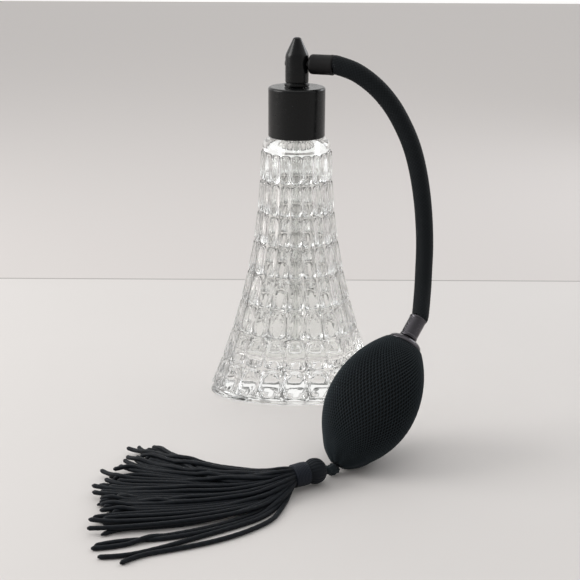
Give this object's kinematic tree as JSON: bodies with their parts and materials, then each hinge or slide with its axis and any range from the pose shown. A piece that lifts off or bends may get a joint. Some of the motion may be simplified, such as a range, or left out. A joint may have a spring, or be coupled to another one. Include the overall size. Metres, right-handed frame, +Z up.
{
  "type": "perfume bottle",
  "caption": "Pressed-glass flared perfume bottle with a screw collar, bullet spray head, braided hose, net-covered squeeze bulb and cord tassel.",
  "frame": {"origin": "centre of the bottle's flat underside", "axes": "+Z up along the bottle, +X towards the side where the hose leaves the spray head, -Y towards the front where the bulb and tassel rest"},
  "size_m": [0.1455, 0.1686, 0.1717],
  "materials": {
    "clear_glass": "clear pressed soda glass, fire polished",
    "clear_plastic": "clear extruded tube",
    "black_plastic": "black moulded, semi-gloss",
    "satin_black": "satin black",
    "gunmetal": "gunmetal grey, satin",
    "steel": "polished steel",
    "white_seal": "soft white foam seal",
    "black_rubber": "matt black rubber",
    "black_braid": "fine black braided yarn",
    "black_net": "black knotted net",
    "black_cord": "black satin cord",
    "navy_thread": "wound blue-black thread"
  },
  "bodies": {
    "bottle": {"glass_bottle": "clear_glass"},
    "pump": {"collar_gasket": "white_seal", "spray_stem": "black_plastic", "dip_tube": "clear_plastic", "stem_o_ring": "black_rubber"},
    "collar": {"screw_collar": "black_plastic"},
    "head": {"spray_head": "black_plastic", "spray_nozzle": "satin_black", "inlet_spigot": "black_plastic", "head_ferrule": "satin_black", "braided_hose": "black_braid", "bulb_ferrule": "gunmetal", "valve_dome": "gunmetal", "outlet_valve_housing": "satin_black", "rubber_bulb": "black_rubber", "intake_valve_seat": "steel", "net_cover": "black_net", "net_tie": "black_net"},
    "outlet_ball": {"outlet_valve_ball": "steel"},
    "intake_ball": {"intake_valve_ball": "steel"},
    "tassel": {"tassel_loop": "black_cord", "tassel_head": "black_cord", "tassel_binding": "navy_thread", "tassel_skirt": "black_cord"}
  },
  "joints": [
    {"name": "sprayer_lift_off", "type": "slide", "parent": "bottle", "child": "pump", "axis": [0, 0, 1], "range_m": [0, 0.14]},
    {"name": "collar_turn", "type": "hinge", "parent": "pump", "child": "collar", "pos_m": [0, 0, 0.1497], "axis": [0, 0, 1], "range_deg": [0, 540]},
    {"name": "head_swivel", "type": "hinge", "parent": "pump", "child": "head", "pos_m": [0, 0, 0.15], "axis": [0, 0, 1], "continuous": true},
    {"name": "outlet_valve_lift", "type": "slide", "parent": "head", "child": "outlet_ball", "axis": [0.4871, 0.5151, 0.7052], "range_m": [0, 0.0012]},
    {"name": "intake_valve_lift", "type": "slide", "parent": "head", "child": "intake_ball", "axis": [0.4871, 0.5151, 0.7052], "range_m": [0, 0.0006]},
    {"name": "tassel_swing", "type": "hinge", "parent": "head", "child": "tassel", "pos_m": [0.0152, -0.0889, 0.003], "axis": [0, 0, 1], "range_deg": [-25, 25]}
  ]
}
